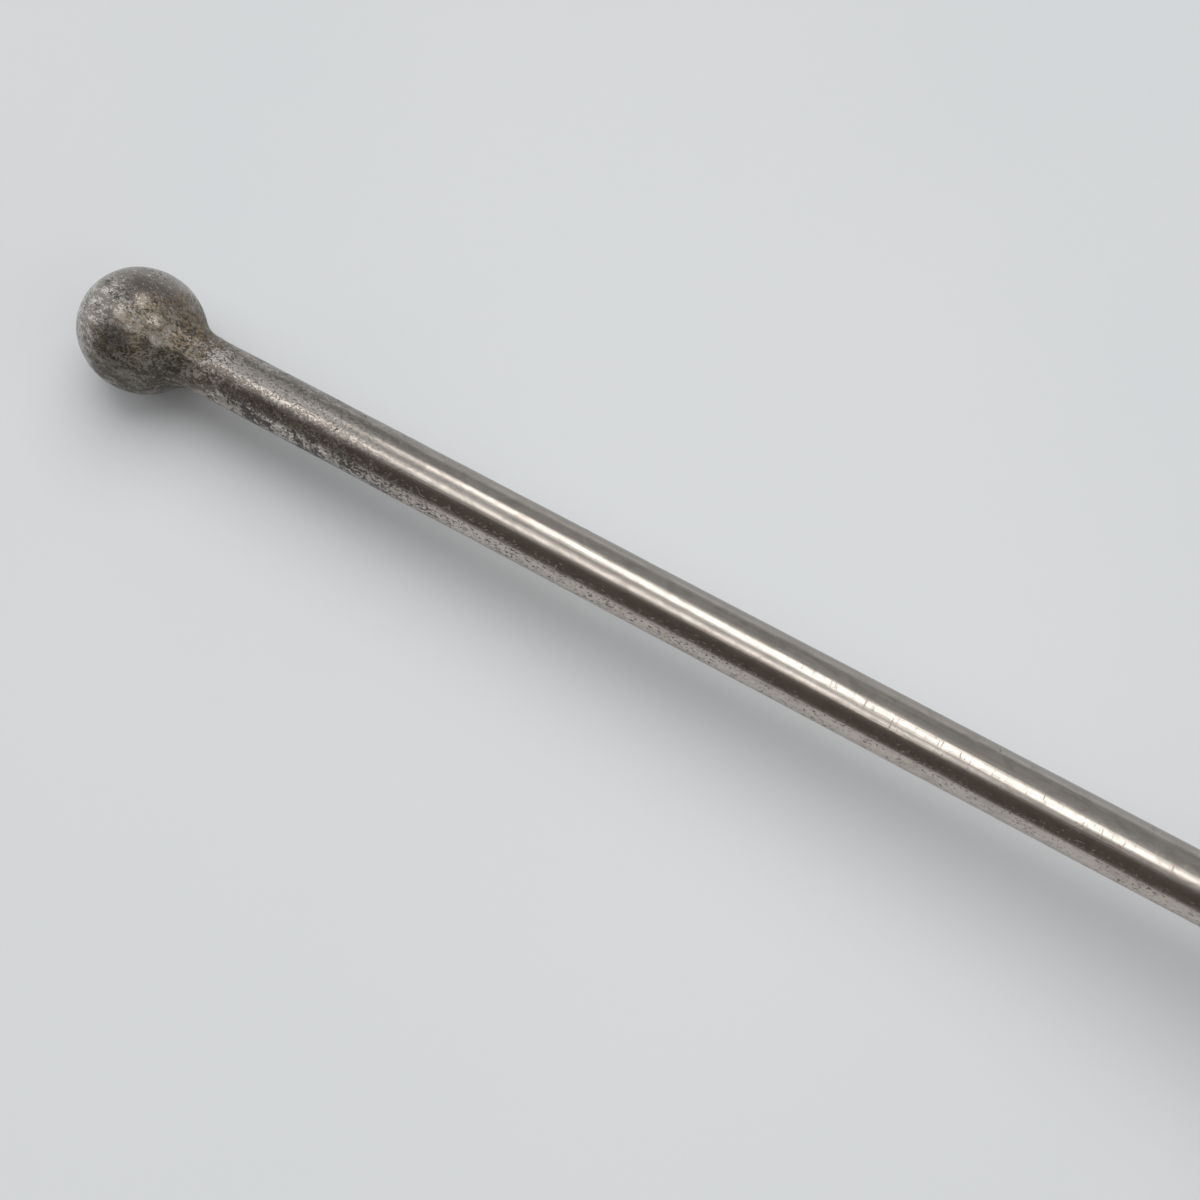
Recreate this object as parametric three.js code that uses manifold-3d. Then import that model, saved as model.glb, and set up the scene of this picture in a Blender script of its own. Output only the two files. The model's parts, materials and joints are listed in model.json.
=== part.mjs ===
// An inoculating loop: a long metal handle that ends in a brazed ball, an insulated grip with a
// hexagonal hand guard, and a collet chuck that holds a wire loop. It lies on a bench on its ball
// and on the guard, so that the loop stays clear of the bench.
// Millimetres, +Z up. Every piece is drawn along its own axis, "s", which runs from the centre of
// the ball (s = 0) towards the loop, and the whole assembly is then tipped onto its two supports.
import * as THREE from 'three';
import { mergeVertices } from 'three/addons/utils/BufferGeometryUtils.js';
import Module from 'manifold-3d';

// ---- driving dimensions ----
const round = 48; // facets round every turned piece
const fit = 0.05; // gap between pieces that are fitted together for good

const ballRadius = 4.5;
const rodRadius = 2.125;
const spigotRadius = 1.5; // the rod's turned-down end, inside the ball
const spigotLength = 5.3;
const ballSeat = 3.9; // the flat on the ball that the rod's shoulder meets
const rodEnd = 113;
const filletReach = 2.95; // radius at which the brazing metal leaves the ball
const filletEnd = 5.1; // where it runs out on the rod

const ferruleRadius = 4.9;
const ferruleLength = 7.5;
const ferruleWall = 0.85;
const ferruleFloor = 2.2;
const rearFerruleStart = 95;
const gripStart = rearFerruleStart + ferruleLength + fit;
const gripEnd = 131;
const gripAcrossFlats = 11;
const gripCornerRadius = 6.05; // the hexagon's corners are turned down to this
const grooveCount = 3;
const grooveDepth = 0.8;
const grooveWidth = 1.2;
const groovePitch = 2.6;
const pinRadius = 0.75;
const pinHole = 0.8;
const rearPinAt = 107;
const frontPinAt = 126.5;

const frontFerruleStart = gripEnd + fit;
const guardStart = frontFerruleStart + ferruleLength + fit;
const guardThickness = 3.6;
const guardAcrossFlats = 23.4;
const guardBevel = 0.5;
const guardCornerRadius = 2;
const washerStart = guardStart + guardThickness + fit;
const washerThickness = 0.8;
const washerRadius = 4.3;
const lockNutStart = washerStart + washerThickness + fit;
const lockNutThickness = 2.8;
const lockNutAcrossFlats = 7.5;

const shankStart = 118; // leaves an air gap to the rod inside the grip
const shankShoulder = lockNutStart + lockNutThickness + 1;
const shankNeckRadius = 1.6;
const chuckStart = 160;
const shankEnd = chuckStart + 6;

const threadStart = 166.5;
const chuckFace = 175;
const chuckRadius = 3.45;
const threadRadius = 3.1;
const colletBore = 1.95;
const colletBoreStart = 166.7;
const taperStart = 172.5;
const taperSlope = 0.28;

const colletStart = 167.2;
const jawStart = 169.5;
const jawEnd = 176.6;
const colletRadius = 1.8;
const jawGrip = 0.4; // radius of the jaws' bore round the wire
const jawRelief = 1.1; // radius inside the thin springy arms
const jawHeadRadius = 2.45;
const slitWidth = 0.3;
const jawCount = 4;

const nutStart = 166.8;
const nutEnd = 180;
const nutRadius = 4.35;
const nutBore = 3.25;
const nutHole = 1;
const knurlCount = 36;
const knurlDepth = 0.28;

const wireRadius = 0.35;
const wireStart = 168;
const loopNeck = 234.4; // where the wire closes on itself
const loopInside = 4.2; // the loop's inner diameter
const wrapLength = 2;
const wrapRadius = 1.05;
const loopRoll = THREE.MathUtils.degToRad(35); // the loop's plane, turned about the wire

// ---- shapes ----
const wasm = await Module();
wasm.setup();

// A closed three.js geometry as a manifold-3d solid.
function solid(geometry) {
  const bare = geometry.clone();
  bare.deleteAttribute('normal');
  bare.deleteAttribute('uv');
  const merged = mergeVertices(bare, 1e-4);
  return new wasm.Manifold(new wasm.Mesh({
    numProp: 3,
    vertProperties: merged.attributes.position.array,
    triVerts: new Uint32Array(merged.index.array),
  }));
}

// A manifold-3d solid as a three.js geometry.
function surface(body) {
  const mesh = body.getMesh();
  const geometry = new THREE.BufferGeometry();
  geometry.setAttribute('position', new THREE.BufferAttribute(mesh.vertProperties, 3));
  geometry.setIndex(new THREE.BufferAttribute(mesh.triVerts, 1));
  geometry.computeVertexNormals();
  return geometry;
}

// A turned piece: [s, radius] points, from the axis back to the axis, or closed for a ring.
function turned(outline) {
  const points = outline.map(([s, r]) => new THREE.Vector2(r, s));
  return new THREE.LatheGeometry(points, round).rotateZ(-Math.PI / 2);
}

// A ring from s = a to b with a chamfer on its outer edges.
function ring(a, b, inner, outer, chamfer = 0) {
  return turned([
    [a, inner], [a, outer - chamfer], [a + chamfer, outer],
    [b - chamfer, outer], [b, outer - chamfer], [b, inner], [a, inner],
  ]);
}

// A plain round bar from s = a to b, for cutting.
function bar(a, b, radius) {
  return turned([[a, 0], [a, radius], [b, radius], [b, 0]]);
}

// Points of the ball's outline between two radii, on its front half, pushed out by a gap.
function ballArc(fromRadius, toRadius, gap, steps) {
  const size = ballRadius + gap;
  const a = Math.asin(fromRadius / size);
  const b = Math.asin(toRadius / size);
  return Array.from({ length: steps + 1 }, (_, i) => {
    const angle = a + (b - a) * i / steps;
    return [size * Math.cos(angle), size * Math.sin(angle)];
  });
}

// A hexagon with round corners and flats facing up and down, drawn in the plane across the axis.
function hexagon(acrossFlats, cornerRadius) {
  const shape = new THREE.Shape();
  const inner = acrossFlats / 2 - cornerRadius;
  const toCorner = inner / Math.cos(Math.PI / 6);
  for (let i = 0; i < 6; i++) {
    const angle = Math.PI / 6 + i * Math.PI / 3;
    shape.absarc(toCorner * Math.cos(angle), toCorner * Math.sin(angle), cornerRadius,
      angle - Math.PI / 6, angle + Math.PI / 6);
  }
  return shape.closePath();
}

// A shape in the plane across the axis, run along the axis from s = a to b.
function along(shape, a, b, bevel = 0) {
  const geometry = new THREE.ExtrudeGeometry(shape, {
    depth: b - a - 2 * bevel, curveSegments: 6, bevelEnabled: bevel > 0, bevelSegments: 2,
    bevelThickness: bevel, bevelSize: bevel, bevelOffset: -bevel,
  });
  return geometry.rotateY(Math.PI / 2).translate(a + bevel, 0, 0);
}

// A pin across the axis, pointing up.
function crossPin(s, radius, length) {
  return new THREE.CylinderGeometry(radius, radius, length, 16).rotateX(Math.PI / 2)
    .translate(s, 0, 0);
}

// ---- handle ----
// The ball, with a flat seat and a blind socket for the rod's spigot.
function ballKnob() {
  const seatRadius = Math.sqrt(ballRadius ** 2 - ballSeat ** 2);
  const first = Math.PI;
  const last = Math.asin(seatRadius / ballRadius);
  const steps = 26;
  const arc = Array.from({ length: steps }, (_, i) => {
    const angle = first + (last - first) * (i + 1) / steps;
    return [ballRadius * Math.cos(angle), ballRadius * Math.sin(angle)];
  });
  const socket = ballSeat - spigotLength - fit;
  return turned([
    [-ballRadius, 0], ...arc, [ballSeat, spigotRadius + fit], [socket, spigotRadius + fit],
    [socket, 0],
  ]);
}

// The bare rod: spigot, shoulder, and a cross hole for the pin that holds it in the grip.
function handleRod() {
  const shoulder = ballSeat + fit;
  const rod = turned([
    [shoulder - spigotLength, 0], [shoulder - spigotLength, spigotRadius],
    [shoulder, spigotRadius], [shoulder, rodRadius],
    [rodEnd - 0.4, rodRadius], [rodEnd, rodRadius - 0.4], [rodEnd, 0],
  ]);
  return surface(solid(rod).subtract(solid(crossPin(rearPinAt, pinHole, 3 * rodRadius))));
}

// The concave ring of brazing metal in the corner between ball and rod.
function brazeFillet() {
  const onBall = ballArc(rodRadius + fit, filletReach, fit, 5);
  const [startS, startR] = onBall[onBall.length - 1];
  const rim = 0.06; // the metal thins to this at both edges
  const end = new THREE.Vector2(filletEnd, rodRadius + fit + rim);
  const start = new THREE.Vector2(startS + rim, startR);
  const corner = new THREE.Vector2(startS + 0.5, rodRadius + 0.25);
  const hollow = new THREE.QuadraticBezierCurve(start, corner, end).getPoints(6);
  return turned([
    ...onBall, ...hollow.map(p => [p.x, p.y]), [filletEnd, rodRadius + fit], onBall[0],
  ]);
}

// A plated cap over one end of the grip. "open" is the s of its open end, "way" points from there
// to its closed end.
function ferrule(open, way) {
  const at = d => open + way * d;
  const bore = rodRadius + fit;
  const inside = ferruleRadius - ferruleWall;
  const outline = [
    [at(0), inside], [at(0), ferruleRadius - 0.15], [at(0.15), ferruleRadius],
    [at(1.5), ferruleRadius], [at(1.75), ferruleRadius - 0.3], [at(2.1), ferruleRadius - 0.3],
    [at(2.35), ferruleRadius], [at(3.6), ferruleRadius],
    [at(ferruleLength - 1.2), ferruleRadius - 0.9], [at(ferruleLength), ferruleRadius - 1.9],
    [at(ferruleLength), bore],
    [at(ferruleLength - ferruleFloor), bore], [at(ferruleLength - ferruleFloor), inside],
    [at(0), inside],
  ];
  return turned(way > 0 ? outline : outline.reverse());
}

// The hexagonal ebonite grip: turned corners, finger grooves, a tenon under each ferrule, a
// through bore, and the two cross holes.
function insulatingGrip() {
  const tenon = ferruleRadius - ferruleWall - fit;
  const tenonLength = ferruleLength - ferruleFloor - fit;
  const groove = s => [
    [s - grooveWidth / 2, gripCornerRadius], [s - grooveWidth / 4, gripCornerRadius - grooveDepth],
    [s + grooveWidth / 4, gripCornerRadius - grooveDepth], [s + grooveWidth / 2, gripCornerRadius],
  ];
  const firstGroove = (gripStart + gripEnd) / 2 - groovePitch * (grooveCount - 1) / 2;
  const grooves = Array.from({ length: grooveCount }, (_, i) => groove(firstGroove + i * groovePitch));
  const envelope = turned([
    [gripStart - tenonLength, 0], [gripStart - tenonLength, tenon], [gripStart, tenon],
    [gripStart, ferruleRadius], [gripStart + 1.6, gripCornerRadius], ...grooves.flat(),
    [gripEnd - 1.6, gripCornerRadius], [gripEnd, ferruleRadius],
    [gripEnd, tenon], [gripEnd + tenonLength, tenon], [gripEnd + tenonLength, 0],
  ]);
  const hexBar = along(hexagon(gripAcrossFlats, 0.6), gripStart - 10, gripEnd + 10);
  const bore = bar(gripStart - 20, gripEnd + 20, rodRadius + fit);
  const holes = [rearPinAt, frontPinAt].map(s => solid(crossPin(s, pinHole, 2 * gripAcrossFlats)));
  return surface(holes.reduce(
    (body, hole) => body.subtract(hole),
    solid(envelope).intersect(solid(hexBar)).subtract(solid(bore)),
  ));
}

// A brass pin through the grip and the bar in it, just below the grip's flats.
function gripPin(s) {
  return crossPin(s, pinRadius, gripAcrossFlats - 0.1);
}

// ---- hand guard ----
// The hexagonal ebonite plate that keeps fingers off the hot end and the tool from rolling.
function handGuard() {
  const shape = hexagon(guardAcrossFlats, guardCornerRadius);
  const plate = along(shape, guardStart, guardStart + guardThickness, guardBevel);
  const bore = bar(guardStart - 5, guardStart + guardThickness + 5, rodRadius + fit);
  return surface(solid(plate).subtract(solid(bore)));
}

// The thin hexagonal nut that clamps the guard against the front ferrule.
function guardLockNut() {
  const end = lockNutStart + lockNutThickness;
  const hexBar = along(hexagon(lockNutAcrossFlats, 0.1), lockNutStart - 2, end + 2);
  const corner = lockNutAcrossFlats / Math.sqrt(3);
  const envelope = ring(lockNutStart, end, rodRadius + fit, corner - 0.05, 0.4);
  return surface(solid(hexBar).intersect(solid(envelope)));
}

// The front bar: full size through grip, guard and nut, then a slimmer neck into the chuck.
function shank() {
  const body = turned([
    [shankStart, 0], [shankStart, rodRadius - 0.4], [shankStart + 0.4, rodRadius],
    [shankShoulder, rodRadius], [shankShoulder + 0.9, shankNeckRadius],
    [shankEnd, shankNeckRadius], [shankEnd, 0],
  ]);
  return surface(solid(body).subtract(solid(crossPin(frontPinAt, pinHole, 3 * rodRadius))));
}

// ---- chuck ----
// The socket on the shank: its front bore takes the collet, and its mouth is a cone.
function chuckBody() {
  const mouth = colletBore + (chuckFace - taperStart) * taperSlope;
  return surface(solid(turned([
    [chuckStart, 0], [chuckStart, shankNeckRadius + 0.5], [chuckStart + 2.6, chuckRadius],
    [threadStart - 0.4, chuckRadius], [threadStart - 0.2, threadRadius - 0.2],
    [threadStart + 0.2, threadRadius - 0.2], [threadStart + 0.4, threadRadius],
    [chuckFace - 0.3, threadRadius], [chuckFace, threadRadius - 0.3],
    [chuckFace, mouth], [taperStart, colletBore], [colletBoreStart, colletBore],
    [colletBoreStart, 0],
  ])).subtract(solid(bar(chuckStart - 5, shankEnd + fit, shankNeckRadius + fit))));
}

// The ring that the collet's jaws spring from.
function colletBase() {
  return ring(colletStart, jawStart - 0.1, jawGrip + fit, colletRadius, 0.15);
}

// One jaw: a sector of the slit collet, with a thin arm and a conical head.
function colletJaw(index) {
  const headStart = taperStart + 0.1;
  const whole = turned([
    [jawStart, jawRelief], [jawStart, colletRadius], [headStart, colletRadius - 0.02],
    [headStart + (jawHeadRadius - colletRadius) / taperSlope, jawHeadRadius],
    [175.6, jawHeadRadius], [jawEnd, 1.7], [jawEnd, jawGrip],
    [headStart, jawGrip], [headStart - 0.7, jawRelief], [jawStart, jawRelief],
  ]);
  const size = 4 * jawHeadRadius;
  const length = jawEnd - jawStart + 4;
  const quarter = new THREE.BoxGeometry(length, size, size).translate(
    (jawStart + jawEnd) / 2, (size + slitWidth) / 2, (size + slitWidth) / 2,
  ).rotateX(index * 2 * Math.PI / jawCount);
  return surface(solid(whole).intersect(solid(quarter)));
}

// The knurled nut: its inner cone presses the jaws back into the mouth of the chuck.
function chuckNut() {
  const knurl = new THREE.Shape(Array.from({ length: 2 * knurlCount }, (_, i) => {
    const angle = i * Math.PI / knurlCount;
    const radius = nutRadius - (i % 2) * knurlDepth;
    return new THREE.Vector2(radius * Math.cos(angle), radius * Math.sin(angle));
  }));
  const fluted = along(knurl, nutStart - 2, nutEnd + 2);
  const envelope = turned([
    [nutStart, nutBore], [nutStart, nutRadius - 0.5], [nutStart + 0.5, nutRadius],
    [nutEnd - 3, nutRadius], [nutEnd - 2.4, nutRadius - 0.6], [nutEnd, 2.3], [nutEnd, nutHole],
    [176.8, nutHole], [176.8, 1.95], [175.65, 2.85], [chuckFace + 0.15, 2.85],
    [chuckFace + 0.15, nutBore], [nutStart, nutBore],
  ]);
  return surface(solid(fluted).intersect(solid(envelope)));
}

// ---- wire ----
// One length of wire: a straight stem, a round eye, and the end wrapped back round the stem.
function wireLoop() {
  const ringRadius = (loopInside + 2 * wireRadius) / 2;
  const stem = new THREE.CylinderGeometry(wireRadius, wireRadius, loopNeck - wireStart, 12)
    .rotateZ(-Math.PI / 2).translate((wireStart + loopNeck) / 2, 0, 0);
  const wrap = new THREE.CylinderGeometry(wrapRadius, wrapRadius, wrapLength, 16)
    .rotateZ(-Math.PI / 2).translate(loopNeck - 0.2 - wrapLength / 2, 0, 0);
  const eye = new THREE.TorusGeometry(ringRadius, wireRadius, 12, 40)
    .translate(loopNeck + ringRadius, 0, 0);
  return surface(solid(stem).add(solid(wrap)).add(solid(eye))).rotateX(loopRoll);
}

// ---- materials ----
const metal = (color, roughness) => new THREE.MeshStandardMaterial({ color, roughness, metalness: 1 });
const matte = (color, roughness) => new THREE.MeshStandardMaterial({ color, roughness, metalness: 0 });
const wornNickel = metal('#a59c90', 0.34);
const plating = metal('#b7afa3', 0.26);
const brazing = metal('#8a7446', 0.55);
const brass = metal('#b08d4a', 0.4);
const ebonite = matte('#1b1816', 0.42);
const fibre = matte('#5a2a1e', 0.75);
const nichrome = metal('#6e6862', 0.5);

// ---- assembly ----
const pieces = [
  ['ball_knob', ballKnob(), wornNickel],
  ['braze_fillet', brazeFillet(), brazing],
  ['handle_rod', handleRod(), wornNickel],
  ['rear_ferrule', ferrule(rearFerruleStart + ferruleLength, -1), plating],
  ['insulating_grip', insulatingGrip(), ebonite],
  ['front_ferrule', ferrule(frontFerruleStart, 1), plating],
  ['rear_grip_pin', gripPin(rearPinAt), brass],
  ['front_grip_pin', gripPin(frontPinAt), brass],
  ['hand_guard', handGuard(), ebonite],
  ['guard_washer', ring(washerStart, washerStart + washerThickness, rodRadius + fit, washerRadius), fibre],
  ['guard_lock_nut', guardLockNut(), plating],
  ['shank', shank(), plating],
  ['chuck_body', chuckBody(), plating],
  ['collet_base', colletBase(), brass],
  ['chuck_nut', chuckNut(), plating],
  ['wire_loop', wireLoop(), nichrome],
];
for (let i = 0; i < jawCount; i++) pieces.push([`collet_jaw_${i + 1}`, colletJaw(i), brass]);

const tool = new THREE.Group();
for (const [name, geometry, material] of pieces) {
  const mesh = new THREE.Mesh(geometry, material);
  mesh.name = name;
  tool.add(mesh);
}

// The tool tips until both the ball and the guard's rear edge touch the bench.
const guardContact = guardStart + guardBevel;
const guardHeight = guardAcrossFlats / 2;
const tilt = Math.acos(ballRadius / Math.hypot(guardHeight, guardContact))
  - Math.atan2(guardContact, guardHeight);
tool.rotation.y = -tilt;
tool.position.z = ballRadius;

// The part's origin is on the bench, under the middle of the tool's length.
const part = new THREE.Group();
part.add(tool);
part.updateMatrixWorld(true);
const box = new THREE.Box3().setFromObject(part, true);
const middle = box.getCenter(new THREE.Vector3());
tool.position.x -= middle.x;
tool.position.y -= middle.y;
tool.position.z -= box.min.z;

export default part;
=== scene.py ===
"""An inoculating loop with a ball-ended metal handle, lying on a painted bench.

Every piece is drawn in tool coordinates, in millimetres: s runs along the tool's own axis from
the centre of the ball towards the loop, y is level and z points up from the axis. place() takes
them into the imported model's frame, in metres.
"""

import json
import math

import bpy
import numpy as np
from mathutils import Matrix, Vector, noise


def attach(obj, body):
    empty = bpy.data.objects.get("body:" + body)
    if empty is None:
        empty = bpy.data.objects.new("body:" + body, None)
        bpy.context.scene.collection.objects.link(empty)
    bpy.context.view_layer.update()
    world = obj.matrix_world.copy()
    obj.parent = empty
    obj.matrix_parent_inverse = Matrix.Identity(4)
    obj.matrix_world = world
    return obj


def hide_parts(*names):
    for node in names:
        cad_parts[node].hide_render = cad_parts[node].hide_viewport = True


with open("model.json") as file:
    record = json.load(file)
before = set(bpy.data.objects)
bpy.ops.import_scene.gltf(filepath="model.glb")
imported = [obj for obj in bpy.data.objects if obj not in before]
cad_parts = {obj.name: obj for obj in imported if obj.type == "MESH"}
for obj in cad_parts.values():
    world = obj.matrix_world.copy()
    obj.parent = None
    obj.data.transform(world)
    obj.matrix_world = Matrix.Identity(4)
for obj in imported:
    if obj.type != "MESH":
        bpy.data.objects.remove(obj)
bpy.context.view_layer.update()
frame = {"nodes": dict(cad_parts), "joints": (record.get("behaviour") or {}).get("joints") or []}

# ---- the tool's own axis, from the chuck nut's joint ----
NUT_AT = 174.0  # where the record puts that joint, in mm from the centre of the ball
MM = 0.001
spin = next(j for j in frame["joints"] if j["name"] == "nut_spin")
AXIS = Vector(spin["axis"]).normalized()
LEVEL = Vector((0, 1, 0))
UP = AXIS.cross(LEVEL)
BALL_CENTRE = Vector(spin["pos_m"]) - AXIS * NUT_AT * MM

# ---- dimensions, in mm ----
BALL_R = 4.5
ROD_R = 2.125
FIT = 0.05
ROD_END = 113.0
FERRULE_L = 7.5
REAR_FERRULE = 95.0
GRIP_START = 102.55
GRIP_END = 131.0
GRIP_FLAT = 5.5
GRIP_CORNER = 6.05
PINS_AT = (107.0, 126.5)
FRONT_FERRULE = 131.05
GUARD_START = 138.6
GUARD_THICK = 3.6
GUARD_FLAT = 11.7
WASHER_START = 142.25
LOCK_NUT_START = 143.1
SHANK_START = 118.0
SHANK_END = 166.0
NECK_R = 1.6  # the thinned part of the shank
CHUCK_START = 160.0
CHUCK_FACE = 175.0
THREAD_START = 166.7
THREAD_R = 3.1
COLLET_BORE_R = 1.95
CONE_START = 172.5
CONE_SLOPE = 0.28
NUT_START = 166.8
NUT_END = 180.0
KNURL_R = 4.33
WIRE_R = 0.35
WIRE_START = 168.0
WRAP_R = 2 * WIRE_R
WRAP_TURNS = 2.6
WRAP_PITCH = 0.73
LOOP_NECK = 234.4
LOOP_R = 2.45
LOOP_ROLL = math.radians(35)
SMOOTH_BELOW = math.radians(32)  # edges that turn by less are shaded smooth


# ---- meshes ----
def place(points):
    """Tool coordinates in mm to the model's frame in metres."""
    basis = np.array([AXIS, LEVEL, UP]) * MM
    return np.asarray(points, float) @ basis + np.array(BALL_CENTRE)


def add(name, data):
    """A new object in the scene."""
    obj = bpy.data.objects.new(name, data)
    bpy.context.scene.collection.objects.link(obj)
    return obj


def piece(name, points, faces, material, body, nodes):
    """A smooth mesh that stands for CAD nodes and rides on their body."""
    mesh = bpy.data.meshes.new(name)
    mesh.from_pydata(place(points).tolist(), [], faces)
    mesh.validate()
    mesh.shade_smooth()
    mesh.set_sharp_from_angle(angle=SMOOTH_BELOW)
    mesh.materials.append(material)
    obj = add(name, mesh)
    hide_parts(*nodes)
    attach(obj, body)


def rounded(outline, radius=0.12, steps=4, closed=False):
    """The outline with each corner replaced by a small arc."""
    points = [np.array(p, float) for p in outline]
    count = len(points)
    result = []
    for i, p in enumerate(points):
        if not closed and i in (0, count - 1):
            result.append(tuple(p))
            continue
        before, after = points[i - 1] - p, points[(i + 1) % count] - p
        la, lb = np.linalg.norm(before), np.linalg.norm(after)
        reach = min(radius, 0.45 * la, 0.45 * lb)
        a, b = p + before / la * reach, p + after / lb * reach
        for k in range(steps + 1):
            t = k / steps
            q = a * (1 - t) ** 2 + 2 * p * t * (1 - t) + b * t * t
            result.append(tuple(q))
    return result


def denser(outline, step, closed=False):
    """The outline with points added so that none are further apart than a step."""
    ends = outline[1:] + outline[:1] if closed else outline[1:]
    result = []
    for (s0, r0), (s1, r1) in zip(outline, ends):
        n = max(1, math.ceil(math.hypot(s1 - s0, r1 - r0) / step))
        result += [(s0 + (s1 - s0) * k / n, r0 + (r1 - r0) * k / n) for k in range(n)]
    return result if closed else result + [outline[-1]]


def turned(outline, segments=128, closed=False, shape=None):
    """Points and faces of an outline turned about the axis. shape(s, r, angles) gives the radius
    at each angle. A ring's outline is closed, and any other one starts and ends on the axis."""
    angles = np.arange(segments) * 2 * math.pi / segments
    rings, faces = [], []
    inner = outline if closed else outline[1:-1]
    for s, r in inner:
        radii = shape(s, r, angles) if shape else np.full(segments, r)
        along = np.full(segments, s)
        rings.append(np.stack([along, radii * np.cos(angles), radii * np.sin(angles)], 1))
    points = np.concatenate(rings)
    count = len(rings)
    here = np.arange(segments)
    there = (here + 1) % segments
    for i in range(count if closed else count - 1):
        a, b = i * segments, (i + 1) % count * segments
        faces += np.stack([a + here, a + there, b + there, b + here], 1).tolist()
    if not closed:
        first, last = len(points), len(points) + 1
        points = np.concatenate([points, [[outline[0][0], 0, 0], [outline[-1][0], 0, 0]]])
        end = (count - 1) * segments
        faces += [[first, int(q), int(p)] for p, q in zip(here, there)]
        faces += [[last, end + int(p), end + int(q)] for p, q in zip(here, there)]
    return points, faces


def lumpy(points, size, height, seed):
    """Points pushed in and out from the axis by smooth noise."""
    moved = points.copy()
    for i, p in enumerate(points):
        away = math.hypot(p[1], p[2])
        if away > 1e-6:
            push = height * noise.noise(Vector(p) / size + Vector((seed, 0, 0)))
            moved[i, 1:] *= (away + push) / away
    return moved


def tube(path, radius, sides=20):
    """Points and faces of a round wire along a path, with domed ends."""
    path = np.array(path, float)
    ways = np.gradient(path, axis=0)
    ways /= np.linalg.norm(ways, axis=1)[:, None]
    side = np.cross(ways[0], [0.3, 0.2, 1.0])
    points, angles = [], np.arange(sides) * 2 * math.pi / sides
    for p, way in zip(path, ways):
        side = side - way * np.dot(side, way)
        side /= np.linalg.norm(side)
        other = np.cross(way, side)
        circle = np.outer(np.cos(angles), side) + np.outer(np.sin(angles), other)
        points.append(p + radius * circle)
    dome = ways * radius * 0.4
    points = np.concatenate([[path[0] - dome[0]], *points, [path[-1] + dome[-1]]])
    here, there = np.arange(sides), (np.arange(sides) + 1) % sides
    faces = [[0, 1 + int(q), 1 + int(p)] for p, q in zip(here, there)]
    for i in range(len(path) - 1):
        a, b = 1 + i * sides, 1 + (i + 1) * sides
        faces += np.stack([a + here, a + there, b + there, b + here], 1).tolist()
    end = 1 + (len(path) - 1) * sides
    faces += [[len(points) - 1, end + int(p), end + int(q)] for p, q in zip(here, there)]
    return points, faces


def hexagon(angles, flat, corner):
    """Radius of a hexagon with flats above and below, at each angle: its corners are round."""
    half_side = math.pi / 6
    turn = (angles - math.pi / 2 + half_side) % (2 * half_side) - half_side
    from_corner = half_side - np.abs(turn)
    middle = (flat - corner) / math.cos(half_side)
    straight = flat / np.cos(turn)
    inside = np.maximum(corner**2 - (middle * np.sin(from_corner)) ** 2, 0)
    arc = middle * np.cos(from_corner) + np.sqrt(inside)
    past_straight = np.tan(np.abs(turn)) * flat > (flat - corner) * math.tan(half_side)
    return np.where(past_straight, arc, straight)


def softer(a, b, blend):
    """The smaller of a and b, with a smooth change from one to the other."""
    return 0.5 * (a + b - np.sqrt((a - b) ** 2 + blend**2))


# ---- materials ----
class Nodes:
    """Short calls for building a node tree."""

    def __init__(self, tree):
        self.tree = tree

    def new(self, kind):
        return self.tree.nodes.new("ShaderNode" + kind)

    def put(self, socket, value):
        if isinstance(value, bpy.types.NodeSocket):
            self.tree.links.new(value, socket)
        elif value is not None:
            socket.default_value = value

    def vector(self, operation, a, b, output="Vector"):
        node = self.new("VectorMath")
        node.operation = operation
        self.put(node.inputs[0], a)
        self.put(node.inputs[1], b)
        return node.outputs[output]

    def math(self, operation, a, b=0.0):
        node = self.new("Math")
        node.operation = operation
        self.put(node.inputs[0], a)
        self.put(node.inputs[1], b)
        return node.outputs[0]

    def times(self, a, b):
        return self.math("MULTIPLY", a, b)

    def plus(self, a, b):
        return self.math("ADD", a, b)

    def minus(self, a, b):
        return self.math("SUBTRACT", a, b)

    def most(self, a, b):
        return self.math("MAXIMUM", a, b)

    def step(self, value, low, high):
        """0 below low and 1 above high, with a smooth rise between; low may be the larger."""
        node = self.new("MapRange")
        node.interpolation_type = "SMOOTHSTEP"
        self.put(node.inputs["Value"], value)
        node.inputs["From Min"].default_value = low
        node.inputs["From Max"].default_value = high
        return node.outputs["Result"]

    def mix(self, share, a, b):
        node = self.new("Mix")
        node.data_type = "RGBA"
        self.put(node.inputs[0], share)
        for socket, value in ((node.inputs[6], a), (node.inputs[7], b)):
            self.put(socket, (*value, 1) if isinstance(value, tuple) else value)
        return node.outputs[2]

    def blend(self, share, a, b):
        """A number that goes from a to b."""
        node = self.new("Mix")
        self.put(node.inputs[0], share)
        self.put(node.inputs[2], a)
        self.put(node.inputs[3], b)
        return node.outputs[0]


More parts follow.
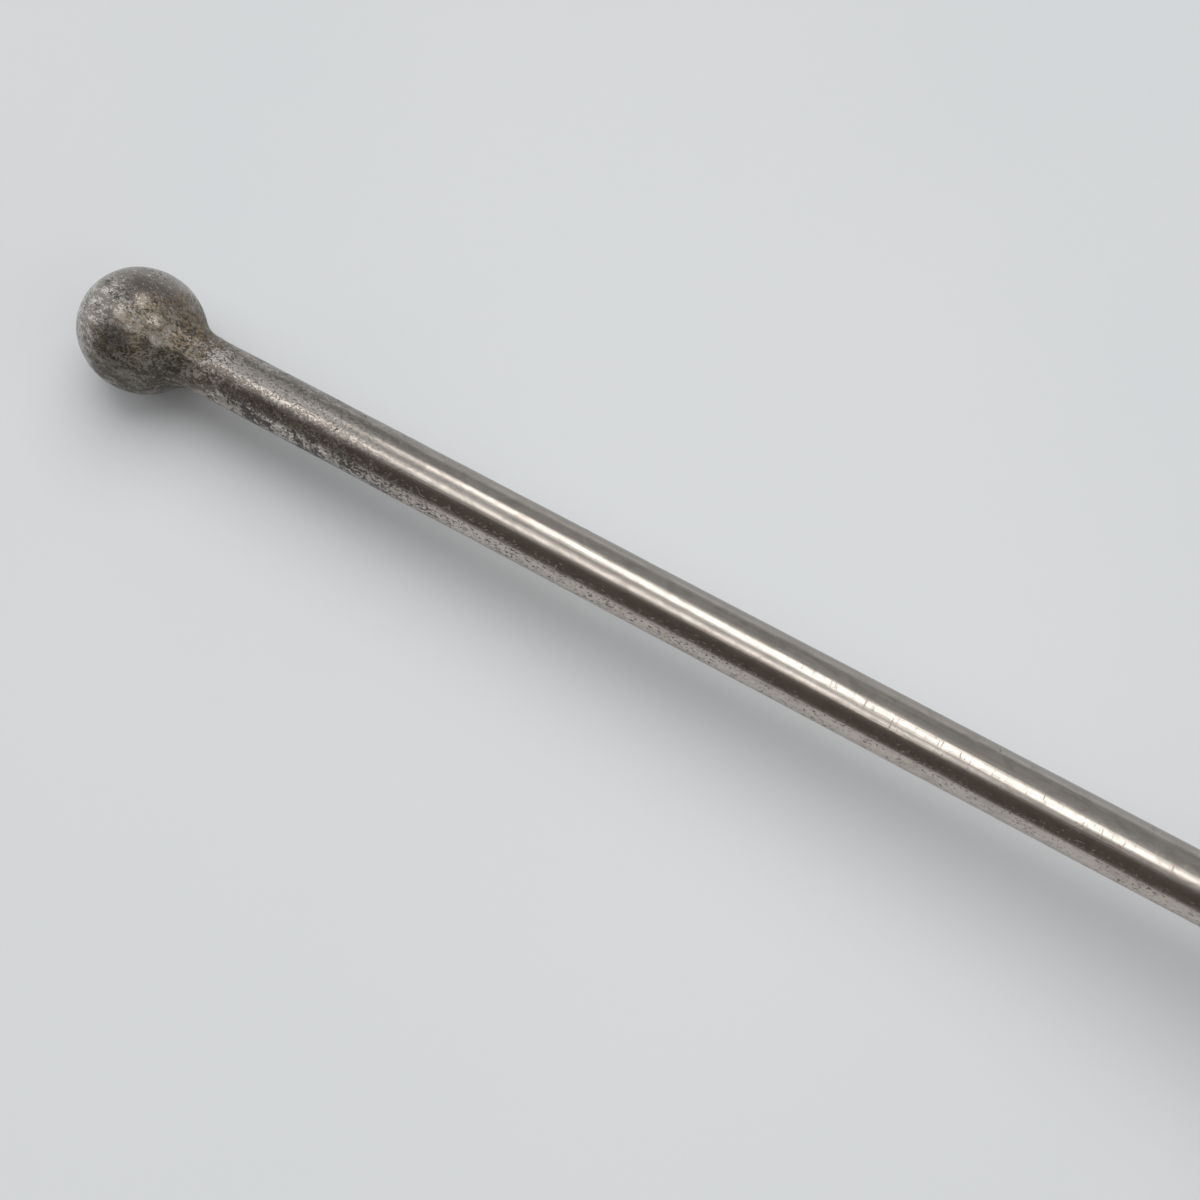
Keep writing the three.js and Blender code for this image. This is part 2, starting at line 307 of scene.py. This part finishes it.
class Paint(Nodes):
    """A node material in tool coordinates: mm holds the place, and s, y and z its three parts."""

    def __init__(self, name):
        self.material = bpy.data.materials.new(name)
        self.material.use_nodes = True
        super().__init__(self.material.node_tree)
        self.shader = self.tree.nodes["Principled BSDF"]
        here = self.new("TexCoord").outputs["Object"]
        from_ball = self.vector("SUBTRACT", here, tuple(BALL_CENTRE))
        ways = [tuple(way / MM) for way in (AXIS, LEVEL, UP)]
        parts = [self.vector("DOT_PRODUCT", from_ball, way, "Value") for way in ways]
        self.s, self.y, self.z = parts
        combine = self.new("CombineXYZ")
        for socket, part in zip(combine.inputs, parts):
            self.put(socket, part)
        self.mm = combine.outputs[0]

    def noise(self, size, detail=4.0, rough=0.55, shift=0.0, warp=0.0):
        """Noise from 0 to 1 whose blotches measure size, (along, level, up), in mm."""
        sizes = size if isinstance(size, tuple) else (size, size, size)
        scaled = self.vector("MULTIPLY", self.mm, tuple(1 / v for v in sizes))
        moved = self.vector("ADD", scaled, (shift, shift * 0.7, shift * 1.3))
        node = self.new("TexNoise")
        self.put(node.inputs["Vector"], moved)
        node.inputs["Scale"].default_value = 1.0
        node.inputs["Detail"].default_value = detail
        node.inputs["Roughness"].default_value = rough
        node.inputs["Distortion"].default_value = warp
        return node.outputs[0]

    def finish(self, color, metallic, roughness, height=None, depth=0.02):
        """Sets the shader; height from 0 to 1 stands for depth mm of relief."""
        if isinstance(color, tuple):
            color = (*color, 1)
        self.put(self.shader.inputs["Base Color"], color)
        self.put(self.shader.inputs["Metallic"], metallic)
        self.put(self.shader.inputs["Roughness"], roughness)
        if height is not None:
            bump = self.new("Bump")
            bump.inputs["Strength"].default_value = 1.0
            bump.inputs["Distance"].default_value = depth * MM
            self.put(bump.inputs["Height"], height)
            self.put(self.shader.inputs["Normal"], bump.outputs[0])
        return self.material


def worn_nickel(name, brazed=0.0):
    """Old nickel plate. Near the ball it is tarnished brown, with bare silver and dark flecks; the
    rod's lower side is pitted; further along it is smooth, with fine lines along and across it.
    The neck, where the ball is brazed on, has brown and green stains."""
    p = Paint(name)
    near = p.step(p.s, 30.0, 12.0)
    slanted = p.minus(p.s, p.times(p.y, 0.45))
    neck = p.times(p.step(slanted, -0.3, 1.7), p.step(p.s, 10.5, 5.5))
    below = p.step(p.y, -0.7, -1.75)
    edge = p.step(p.y, 1.25, 2.0)
    fading = p.step(p.s, 66.0, 16.0)
    clouds = p.noise((3.2, 1.7, 1.7), 5, 0.62)
    patches = p.noise((1.5, 0.8, 0.8), 5, 0.6, 4.0, 0.8)
    spread = p.noise(1.1, 4, 0.6, 12.0)
    grain = p.noise((0.20, 0.13, 0.13), 4, 0.65, 3.0, 0.9)
    fleck = p.noise((0.26, 0.15, 0.15), 4, 0.6, 9.0, 0.4)
    streak = p.noise((14.0, 0.16, 0.16), 3, 0.6, 5.0)
    lines = p.noise((40.0, 0.06, 0.06), 2, 0.5, 8.0)
    ring = p.noise((0.10, 1.3, 1.3), 3, 0.65, 2.0, 0.3)

    # brown tarnish, rubbed bare in flecks on top and on the near side
    rubbed = p.step(p.plus(p.y, p.times(spread, 2.5)), 3.3, 1.6)
    share = p.times(p.step(patches, 0.36, 0.62), p.blend(rubbed, 0.35, 1.0))
    from_crest = p.math("ABSOLUTE", p.minus(p.y, 0.4))
    crest = p.times(p.step(from_crest, 0.9, 0.3), p.step(p.s, 5.0, 7.5))
    rub = p.plus(grain, p.times(p.most(share, crest), 0.17))
    bare = p.times(p.step(rub, 0.585, 0.65), near)
    film = p.step(p.plus(patches, p.times(near, 0.4)), 0.42, 0.66)
    film = p.times(film, p.blend(near, 0.35, 1.0))

    # dark pits of uneven outline, dense along the lower side and sparse beyond
    density = p.times(p.most(below, p.times(edge, 0.6)), p.blend(fading, 0.72, 1.0))
    density = p.times(density, p.step(p.s, 5.0, 12.0))
    density = p.plus(density, p.times(near, p.times(p.step(spread, 0.35, 0.7), 1.25)))
    level = p.minus(0.73, p.times(density, 0.175))
    pit = p.step(p.minus(fleck, level), 0.0, 0.035)
    spots = p.noise((0.62, 0.42, 0.42), 5, 0.62, 15.0, 0.5)
    limit = p.minus(0.745, p.times(p.most(below, edge), 0.085))
    spotted = p.times(p.step(p.minus(spots, limit), 0.0, 0.04), p.step(p.s, 18.0, 40.0))
    pit = p.most(pit, spotted)
    bare = p.times(bare, p.minus(1.0, pit))

    # short marks across the smooth part
    ticks = p.times(p.step(ring, 0.60, 0.70), p.step(p.s, 38.0, 60.0))
    ticks = p.times(ticks, p.step(patches, 0.36, 0.50))

    # plate, streaked along and darker on the far side, under the brown film
    plate = p.mix(clouds, (0.47, 0.43, 0.39), (0.63, 0.585, 0.54))
    plate = p.mix(p.times(p.step(streak, 0.45, 0.75), 0.45), plate, (0.36, 0.315, 0.28))
    plate = p.mix(p.times(below, 0.5), plate, (0.60, 0.53, 0.47))
    plate = p.mix(p.times(edge, 0.8), plate, (0.20, 0.175, 0.155))
    brown = p.mix(clouds, (0.20, 0.175, 0.155), (0.36, 0.325, 0.295))
    color = p.mix(film, plate, brown)

    # brown and green stain round the neck
    stain_place = p.plus(p.times(p.plus(p.noise(0.8, 5, 0.7, 6.0), grain), 0.5), brazed)
    stain = p.times(neck, p.step(stain_place, 0.41, 0.50))
    olive = p.mix(p.step(fleck, 0.38, 0.56), (0.235, 0.165, 0.09), (0.045, 0.040, 0.024))
    color = p.mix(p.times(stain, 0.88), color, olive)

    # painted shade underneath, low on the ball's near side, and in the crevice between ball and rod
    low = p.plus(p.z, p.times(patches, 2.0))
    low_on_rod = p.times(p.step(low, 1.2, -1.4), 0.6)
    low_on_ball = p.times(p.step(p.plus(low, p.times(p.y, 0.55)), 3.8, 1.0), 0.8)
    on_ball = p.step(p.s, 4.6, 3.4)
    painted_shade = p.times(p.blend(on_ball, low_on_rod, low_on_ball), near)
    crevice = p.times(p.step(p.s, 2.0, 3.4), p.step(p.s, 6.4, 4.4))
    crevice = p.times(crevice, p.step(p.plus(p.y, p.times(patches, 2.0)), 1.4, -0.4))
    painted_shade = p.most(painted_shade, p.times(crevice, 0.85))
    color = p.mix(painted_shade, color, (0.060, 0.056, 0.036))

    # bare flecks, pits, marks, and one round dark spot on top of the ball that is a painted
    # reflection of the dark near side of the room
    # fewer bare flecks where the neck is stained and where shade is painted
    stain_or_shade = p.most(p.times(stain, p.step(p.s, 8.0, 4.5)), painted_shade)
    color = p.mix(p.times(bare, p.blend(stain_or_shade, 1.0, 0.28)), color, (0.64, 0.60, 0.555))
    color = p.mix(p.times(pit, 0.85), color, (0.035, 0.03, 0.026))
    color = p.mix(p.times(ticks, 0.7), color, (0.16, 0.13, 0.11))
    # painted reflection: a round dark spot on top of the ball
    from_painted_reflection = p.vector("DISTANCE", p.mm, (1.0, -2.17, 3.80), "Value")
    painted_reflection_spot = p.step(p.plus(from_painted_reflection, p.times(grain, 0.3)), 1.20, 0.80)
    color = p.mix(p.times(painted_reflection_spot, 0.45), color, (0.075, 0.080, 0.095))

    rough = p.blend(near, 0.215, 0.20)
    rough = p.plus(rough, p.times(film, 0.05))
    rough = p.minus(rough, p.times(bare, 0.06))
    rough = p.most(rough, p.times(p.most(pit, stain), 0.5))
    metallic = p.minus(1.0, p.most(p.times(stain, 0.4), p.times(pit, 0.8)))

    height = p.times(rub, p.blend(near, 0.05, 0.30))
    height = p.minus(height, p.times(pit, p.blend(near, 0.45, 0.55)))
    height = p.minus(height, p.times(ticks, 0.16))
    height = p.plus(height, p.times(streak, 0.14))
    height = p.plus(height, p.times(lines, 0.07))
    return p.finish(color, metallic, rough, height, 0.035)


def plating(name):
    """Nickel plate in good order: bright, with fine scratches and a few tarnished freckles."""
    p = Paint(name)
    clouds = p.noise(2.5, 5, 0.6)
    fine = p.noise((0.05, 1.2, 1.2), 3, 0.6, 4.0)
    freckle = p.step(p.noise(0.45, 6, 0.7, 8.0), 0.60, 0.72)
    color = p.mix(clouds, (0.55, 0.515, 0.465), (0.68, 0.645, 0.59))
    color = p.mix(p.times(freckle, 0.8), color, (0.16, 0.13, 0.10))
    rough = p.plus(p.blend(clouds, 0.14, 0.26), p.times(freckle, 0.25))
    height = p.minus(p.times(fine, 0.25), freckle)
    return p.finish(color, 1.0, rough, height, 0.012)


def brass(name):
    """Bare brass, dulled brown where it is not rubbed."""
    p = Paint(name)
    clouds = p.noise(0.9, 5, 0.6)
    fine = p.noise((0.06, 0.5, 0.5), 3, 0.6, 4.0)
    color = p.mix(p.step(clouds, 0.4, 0.65), (0.66, 0.47, 0.20), (0.36, 0.23, 0.09))
    rough = p.blend(clouds, 0.25, 0.45)
    return p.finish(color, 1.0, rough, fine, 0.006)


def ebonite(name):
    """Black hard rubber gone slightly brown, with polishing marks and handling scuffs."""
    p = Paint(name)
    clouds = p.noise(5.0, 5, 0.6)
    marks = p.noise((3.0, 0.09, 0.09), 4, 0.6, 2.0)
    scuff = p.step(p.noise((0.8, 0.35, 0.35), 6, 0.75, 5.0), 0.60, 0.74)
    color = p.mix(clouds, (0.012, 0.011, 0.010), (0.034, 0.024, 0.017))
    color = p.mix(p.times(scuff, 0.5), color, (0.075, 0.065, 0.055))
    rough = p.plus(p.blend(clouds, 0.26, 0.42), p.times(scuff, 0.22))
    height = p.minus(p.times(marks, 0.4), p.times(scuff, 0.5))
    return p.finish(color, 0.0, rough, height, 0.014)


def fibre(name):
    """Red-brown vulcanised fibre."""
    p = Paint(name)
    strands = p.noise((0.12, 0.7, 0.12), 5, 0.7)
    clouds = p.noise(1.5, 4, 0.6, 3.0)
    color = p.mix(strands, (0.115, 0.028, 0.014), (0.26, 0.075, 0.038))
    color = p.mix(p.times(clouds, 0.4), color, (0.06, 0.025, 0.018))
    return p.finish(color, 0.0, p.blend(strands, 0.6, 0.85), strands, 0.03)


def nichrome(name):
    """Resistance wire: grey by the chuck, then straw, blue and scaled black from the flame."""
    p = Paint(name)
    wander = p.plus(p.s, p.times(p.noise(3.0, 4, 0.6), 6.0))
    scale = p.noise((0.35, 0.2, 0.2), 6, 0.7, 3.0)
    color = p.mix(p.step(wander, 188.0, 198.0), (0.42, 0.395, 0.37), (0.40, 0.30, 0.17))
    color = p.mix(p.step(wander, 196.0, 208.0), color, (0.17, 0.17, 0.24))
    color = p.mix(p.step(wander, 207.0, 222.0), color, (0.075, 0.070, 0.068))
    color = p.mix(p.times(p.step(scale, 0.5, 0.7), 0.5), color, (0.20, 0.175, 0.15))
    rough = p.plus(p.blend(p.step(p.s, 188.0, 223.0), 0.28, 0.5), p.times(scale, 0.15))
    return p.finish(color, 0.9, rough, scale, 0.03)


NICKEL = worn_nickel("worn_nickel")
NECK = worn_nickel("brazed_neck", 0.05)
PLATE = plating("nickel_plate")
BRASS = brass("dull_brass")
EBONITE = ebonite("ebonite")
FIBRE = fibre("fibre")
NICHROME = nichrome("nichrome")


# ---- handle ----
def ball_knob():
    first, last = math.pi, math.asin(0.5)
    arc = [first + (last - first) * i / 150 for i in range(1, 151)]
    outline = [(-BALL_R, 0)] + [(BALL_R * math.cos(a), BALL_R * math.sin(a)) for a in arc]
    points, faces = turned(outline + [(3.5, 1.8), (3.5, 0)], 256)
    points = lumpy(points, 2.2, 0.035, 4.0)
    piece("ball", points, faces, NICKEL, "handle", ["ball_knob"])


def braze_fillet():
    leave = math.asin(3.15 / BALL_R)
    start = np.array([BALL_R * math.cos(leave), BALL_R * math.sin(leave)])
    along = np.array([math.sin(leave), -math.cos(leave)])
    end = np.array([5.9, ROD_R - 0.02])
    sunk = start - 0.03 * np.array([math.cos(leave), math.sin(leave)])
    curve = []
    for i in range(41):
        t = i / 40
        a, b, c, d = (1 - t) ** 3, 3 * t * (1 - t) ** 2, 3 * t * t * (1 - t), t**3
        q = a * sunk + b * (start + along * 0.75) + c * (end - np.array([1.35, -0.02])) + d * end
        curve.append(tuple(q))
    points, faces = turned(curve + [(5.9, 1.9), (2.9, 1.9), (2.9, 2.9)], 192, closed=True)
    points = lumpy(points, 0.9, 0.07, 1.0)
    piece("brazed_neck", points, faces, NECK, "handle", ["braze_fillet"])


def handle_rod():
    outline = denser([(4.0, ROD_R), (ROD_END - 0.4, ROD_R)], 0.5)
    outline = [(4.0, 0), *outline, (ROD_END, ROD_R - 0.4), (ROD_END, 0)]
    points, faces = turned(outline, 128)
    points = lumpy(points, 3.0, 0.012, 2.0)
    piece("handle_rod", points, faces, NICKEL, "handle", ["handle_rod"])


def ferrule(name, node, open_end, way):
    """A cup over the grip's end, with a turned groove and a rounded shoulder."""
    cup_r, cup_depth, bore = 4.05, 5.3, ROD_R + FIT
    profile = [
        (0, cup_r), (0, 4.75), (0.15, 4.9), (1.5, 4.9), (1.7, 4.62), (2.15, 4.62), (2.35, 4.9),
        (3.7, 4.9), (5.0, 4.62), (6.1, 4.08), (6.9, 3.5), (FERRULE_L, 2.95), (FERRULE_L, bore),
        (cup_depth, bore), (cup_depth, cup_r),
    ]
    outline = [(open_end + way * d, r) for d, r in profile]
    if way < 0:
        outline.reverse()
    outline = rounded(outline, 0.35, 5, closed=True)
    points, faces = turned(outline, 160, closed=True)
    piece(name, points, faces, PLATE, "handle", [node])


def insulating_grip():
    a, b = GRIP_START, GRIP_END
    middle = (a + b) / 2
    outer = [(a, ROD_R + FIT), (a, 4.75), (a + 0.3, 5.0), (a + 1.6, GRIP_CORNER)]
    for shift in (-2.6, 0.0, 2.6):
        s = middle + shift
        outer += [(s - 0.7, GRIP_CORNER), (s - 0.35, 5.25), (s + 0.35, 5.25), (s + 0.7, GRIP_CORNER)]
    outer += [(b - 1.6, GRIP_CORNER), (b - 0.3, 5.0), (b, 4.75), (b, ROD_R + FIT)]
    outline = denser(rounded(outer, 0.3, 5, closed=True), 0.3, closed=True)

    def shape(s, r, angles):
        sides = hexagon(angles, GRIP_FLAT, 0.6)
        return np.where(r > 3, softer(r, sides, 0.06), r)

    points, faces = turned(outline, 288, closed=True, shape=shape)
    piece("grip", points, faces, EBONITE, "handle", ["insulating_grip"])


def grip_pin(name, node, s):
    """A brass pin across the grip, slightly domed, standing on end."""
    top = GRIP_FLAT - 0.05
    outline = rounded([(-top - 0.02, 0), (-top, 0.72), (top, 0.72), (top + 0.02, 0)], 0.08)
    points, faces = turned(outline, 48)
    across = np.stack([s + points[:, 2], points[:, 1], points[:, 0]], 1)
    piece(name, across, [f[::-1] for f in faces], BRASS, "handle", [node])


def hand_guard():
    a, b = GUARD_START, GUARD_START + GUARD_THICK
    rim = GUARD_FLAT
    outline = [
        (a, ROD_R + FIT), (a, 5.4), (a + 0.25, 5.7), (a + 0.25, 6.3), (a, 6.6), (a, rim - 0.5),
        (a + 0.15, rim - 0.15), (a + 0.5, rim), (b - 0.5, rim), (b - 0.15, rim - 0.15),
        (b, rim - 0.5), (b, 6.6), (b - 0.25, 6.3), (b - 0.25, 5.7), (b, 5.4), (b, ROD_R + FIT),
    ]
    outline = denser(rounded(outline, 0.14, 4, closed=True), 0.4, closed=True)

    def shape(s, r, angles):
        inset = GUARD_FLAT - r
        sides = hexagon(angles, r, max(2 - inset, 0.3))
        share = min(max((r - 7.0) / 3.0, 0), 1)
        return r + (sides - r) * share

    points, faces = turned(outline, 240, closed=True, shape=shape)
    piece("hand_guard", points, faces, EBONITE, "handle", ["hand_guard"])


def guard_washer():
    a, b = WASHER_START, WASHER_START + 0.8
    outline = rounded([(a, ROD_R + FIT), (a, 4.3), (b, 4.3), (b, ROD_R + FIT)], 0.15, 4, closed=True)
    points, faces = turned(outline, 96, closed=True)
    points = lumpy(points, 1.2, 0.03, 5.0)
    piece("guard_washer", points, faces, FIBRE, "handle", ["guard_washer"])


def guard_lock_nut():
    a, b = LOCK_NUT_START, LOCK_NUT_START + 2.8
    outline = [
        (a, ROD_R + FIT), (a, 3.65), (a + 0.4, 4.3), (b - 0.4, 4.3), (b, 3.65), (b, ROD_R + FIT),
    ]
    outline = denser(rounded(outline, 0.12, 3, closed=True), 0.12, closed=True)

    def shape(s, r, angles):
        sides = hexagon(angles, 3.75, 0.12)
        return np.where(r > 2.8, softer(r, sides, 0.04), r)

    points, faces = turned(outline, 240, closed=True, shape=shape)
    piece("guard_lock_nut", points, faces, PLATE, "handle", ["guard_lock_nut"])


def shank():
    a, b = SHANK_START, SHANK_END
    profile = [
        (a, 0), (a, 1.7), (a + 0.4, ROD_R), (146.9, ROD_R), (147.4, 2.0), (147.8, NECK_R),
        (148.1, NECK_R), (b, NECK_R), (b, 0),
    ]
    points, faces = turned(rounded(profile, 0.25, 4), 96)
    piece("shank", points, faces, PLATE, "handle", ["shank"])


# ---- chuck ----
def chuck_body():
    a, b = CHUCK_START, CHUCK_FACE
    bore = NECK_R + FIT
    mouth = COLLET_BORE_R + (b - CONE_START) * CONE_SLOPE
    outline = [
        (a, bore), (a, 2.1), (a + 0.9, 2.45), (a + 2.6, 3.45), (163.2, 3.45), (163.4, 3.25),
        (163.7, 3.25), (163.9, 3.45), (166.1, 3.45), (166.3, 2.9), (THREAD_START, 2.9),
        (THREAD_START + 0.2, THREAD_R), (b - 0.3, THREAD_R), (b, THREAD_R - 0.3), (b, mouth),
        (CONE_START, COLLET_BORE_R), (THREAD_START, COLLET_BORE_R), (THREAD_START, bore),
    ]
    points, faces = turned(rounded(outline, 0.12, 4, closed=True), 144, closed=True)
    piece("chuck_body", points, faces, PLATE, "handle", ["chuck_body"])


def chuck_nut():
    """The nut, with a diamond knurl on its grip and a smooth turned nose."""
    a, b = NUT_START, NUT_END
    bore = THREAD_R + 0.15
    knurl_from, knurl_to = 168.4, 176.6
    outline = [
        (a, bore), (a, 3.85), (a + 0.4, 4.2), (167.6, 4.2), (167.9, 4.0), (168.1, 4.0),
        (knurl_from, KNURL_R), (knurl_to, KNURL_R), (176.9, 4.0), (177.1, 4.0), (177.4, 4.1),
        (178.2, 3.6), (179.2, 2.8), (b, 2.1), (b, 1.0), (176.8, 1.0), (176.8, 1.95),
        (175.65, 2.85), (175.15, 2.85), (175.15, bore),
    ]
    outline = denser(rounded(outline, 0.14, 4, closed=True), 0.09, closed=True)
    teeth, lean, deep = 34, 0.5, 0.2

    def wave(angle):
        return np.abs((angle / (2 * math.pi)) % 1 - 0.5) * 2

    def shape(s, r, angles):
        if r < 4.15:
            return np.full(len(angles), r)
        twist = teeth * s * lean / KNURL_R
        ridge = np.minimum(wave(teeth * angles + twist), wave(teeth * angles - twist))
        from_end = min(s - knurl_from, knurl_to - s) + 0.1
        inside = min(max(from_end / 0.3, 0), 1)
        return r - deep * inside * np.clip(1 - 1.7 * ridge, 0, 1)

    points, faces = turned(outline, 408, closed=True, shape=shape)
    piece("chuck_nut", points, faces, PLATE, "nut", ["chuck_nut"])


# ---- wire ----
def wire_path():
    """Stem, round eye, and the end wound back round the stem."""
    centre = LOOP_NECK + LOOP_R
    half = math.radians(158)
    stem = [(s, 0, 0) for s in np.linspace(WIRE_START, LOOP_NECK - 1.6, 60)]
    neck = [(LOOP_NECK - 0.9, 0.03, 0), (LOOP_NECK - 0.3, 0.28, 0)]
    round_eye = np.linspace(half, -half, 60)
    eye = [(centre + LOOP_R * math.cos(a), LOOP_R * math.sin(a), 0) for a in round_eye]
    back = [(LOOP_NECK - 0.25, -0.5, 0.1), (LOOP_NECK - 0.6, -0.62, 0.3)]
    coil = []
    for t in np.linspace(0, 1, 70):
        a = math.radians(-115) - t * WRAP_TURNS * 2 * math.pi
        s = LOOP_NECK - 0.95 - t * WRAP_TURNS * WRAP_PITCH
        coil.append((s, WRAP_R * math.sin(a), -WRAP_R * math.cos(a)))
    smooth = np.array(stem + neck + eye + back + coil)
    bend = len(stem) - 5
    for _ in range(3):
        between = (smooth[bend:-2] + 2 * smooth[bend + 1 : -1] + smooth[bend + 2 :]) / 4
        smooth[bend + 1 : -1] = between
    c, s = math.cos(LOOP_ROLL), math.sin(LOOP_ROLL)
    along, y, z = smooth.T
    return np.stack([along, c * y - s * z, s * y + c * z], 1)


def wire_loop():
    points, faces = tube(wire_path(), WIRE_R, 24)
    piece("wire_loop", points, faces, NICHROME, "wire", ["wire_loop"])


ball_knob()
braze_fillet()
handle_rod()
ferrule("rear_ferrule", "rear_ferrule", REAR_FERRULE + FERRULE_L, -1)
insulating_grip()
ferrule("front_ferrule", "front_ferrule", FRONT_FERRULE, 1)
grip_pin("rear_pin", "rear_grip_pin", PINS_AT[0])
grip_pin("front_pin", "front_grip_pin", PINS_AT[1])
hand_guard()
guard_washer()
guard_lock_nut()
shank()
chuck_body()
chuck_nut()
wire_loop()
for node_name in ["collet_base"] + [f"collet_jaw_{i}" for i in (1, 2, 3, 4)]:
    materials = frame["nodes"][node_name].data.materials
    materials.clear()
    materials.append(BRASS)


# ---- bench ----
def bench():
    """A painted top, wide enough to reach the horizon."""
    mesh = bpy.data.meshes.new("bench")
    half = 60.0  # m
    corners = [(-half, -half, 0), (half, -half, 0), (half, half, 0), (-half, half, 0)]
    mesh.from_pydata(corners, [], [(0, 1, 2, 3)])
    floor = add("bench", mesh)
    p = Paint("bench_paint")
    clouds = p.noise(45.0, 4, 0.5)
    grain = p.noise(0.8, 3, 0.5, 2.0)
    color = p.mix(clouds, (0.755, 0.785, 0.805), (0.80, 0.815, 0.825))
    mesh.materials.append(p.finish(color, 0.0, 0.55, grain, 0.01))


# ---- light ----
def strip(name, middle, end, width, radiance, color):
    """A long lamp above the bench, facing down, that only shows as a reflection. Its middle and
    the middle of one end are in mm from the centre of the ball."""
    lamp = bpy.data.lights.new(name, "AREA")
    lamp.shape = "RECTANGLE"
    half = Vector(end) - Vector(middle)
    lamp.size, lamp.size_y = 2 * half.length * MM, width * MM
    lamp.energy = radiance * math.pi * lamp.size * lamp.size_y
    lamp.color = color
    obj = add(name, lamp)
    x, z = half.normalized(), Vector((0, 0, 1))
    turn = Matrix((x, z.cross(x), z)).transposed()
    obj.matrix_world = Matrix.Translation(BALL_CENTRE + Vector(middle) * MM) @ turn.to_4x4()
    obj.visible_diffuse = False
    obj.visible_camera = False


def daylight():
    """Broad soft light from the far side, which gives the shadows."""
    lamp = bpy.data.lights.new("daylight", "SUN")
    lamp.energy = 1.49
    lamp.angle = math.radians(58)
    lamp.color = (1.0, 0.99, 0.98)
    obj = add("daylight", lamp)
    obj.matrix_world = Vector((0.0, 0.54, 1.0)).to_track_quat("Z", "Y").to_matrix().to_4x4()
    obj.visible_glossy = False


def sky():
    """A pale room: light overhead, bright at its two ends, less on the far side, and dark brown on
    the near side."""
    world = bpy.data.worlds.new("room")
    bpy.context.scene.world = world
    world.use_nodes = True
    p = Nodes(world.node_tree)
    way = p.new("TexCoord").outputs["Generated"]
    x, y = (p.vector("DOT_PRODUCT", way, axis, "Value") for axis in ((1, 0, 0), (0, 1, 0)))
    lit = p.step(y, -0.52, -0.33)
    strength = p.blend(p.step(y, 0.35, 0.60), 0.50, 0.34)
    strength = p.times(strength, p.blend(lit, 0.19, 1.0))
    ends = p.step(p.math("ABSOLUTE", x), 0.5, 0.95)
    strength = p.plus(strength, p.times(ends, 0.42))
    background = world.node_tree.nodes["Background"]
    p.put(background.inputs["Strength"], strength)
    tint = p.mix(p.most(lit, ends), (1.0, 0.85, 0.76), (0.97, 0.98, 1.0))
    p.put(background.inputs["Color"], tint)


def camera():
    """Above and to the right of the ball, looking steeply down, so that the rod runs out of the
    picture at the lower right."""
    back_turn, rise = math.radians(29.33), math.radians(76.15)
    data = bpy.data.cameras.new("camera")
    data.lens, data.sensor_width = 39.0, 36.0
    data.clip_start = 0.005
    obj = add("camera", data)
    level = Vector((math.sin(back_turn), -math.cos(back_turn), 0))
    back = level * math.cos(rise) + Vector((0, 0, math.sin(rise)))
    right = Vector((math.cos(back_turn), math.sin(back_turn), 0))
    up = back.cross(right)
    turn = Matrix((right, up, back)).transposed()
    at = Vector((BALL_CENTRE.x, BALL_CENTRE.y, 0)) + Vector((0.0488, -0.0198, 0.0907))
    obj.matrix_world = Matrix.Translation(at) @ turn.to_4x4()
    bpy.context.scene.camera = obj


camera()
bench()
sky()
daylight()
strip("strip_far", (39, 36, 95.5), (102, -5, 95.5), 30, 2.6, (1.0, 0.98, 0.94))
strip("strip_near", (10, -17, 95.5), (71, -36, 95.5), 24, 1.4, (1.0, 0.97, 0.92))

view = bpy.context.scene.view_settings
view.view_transform = "Standard"
view.look = "None"
view.exposure = 0.0
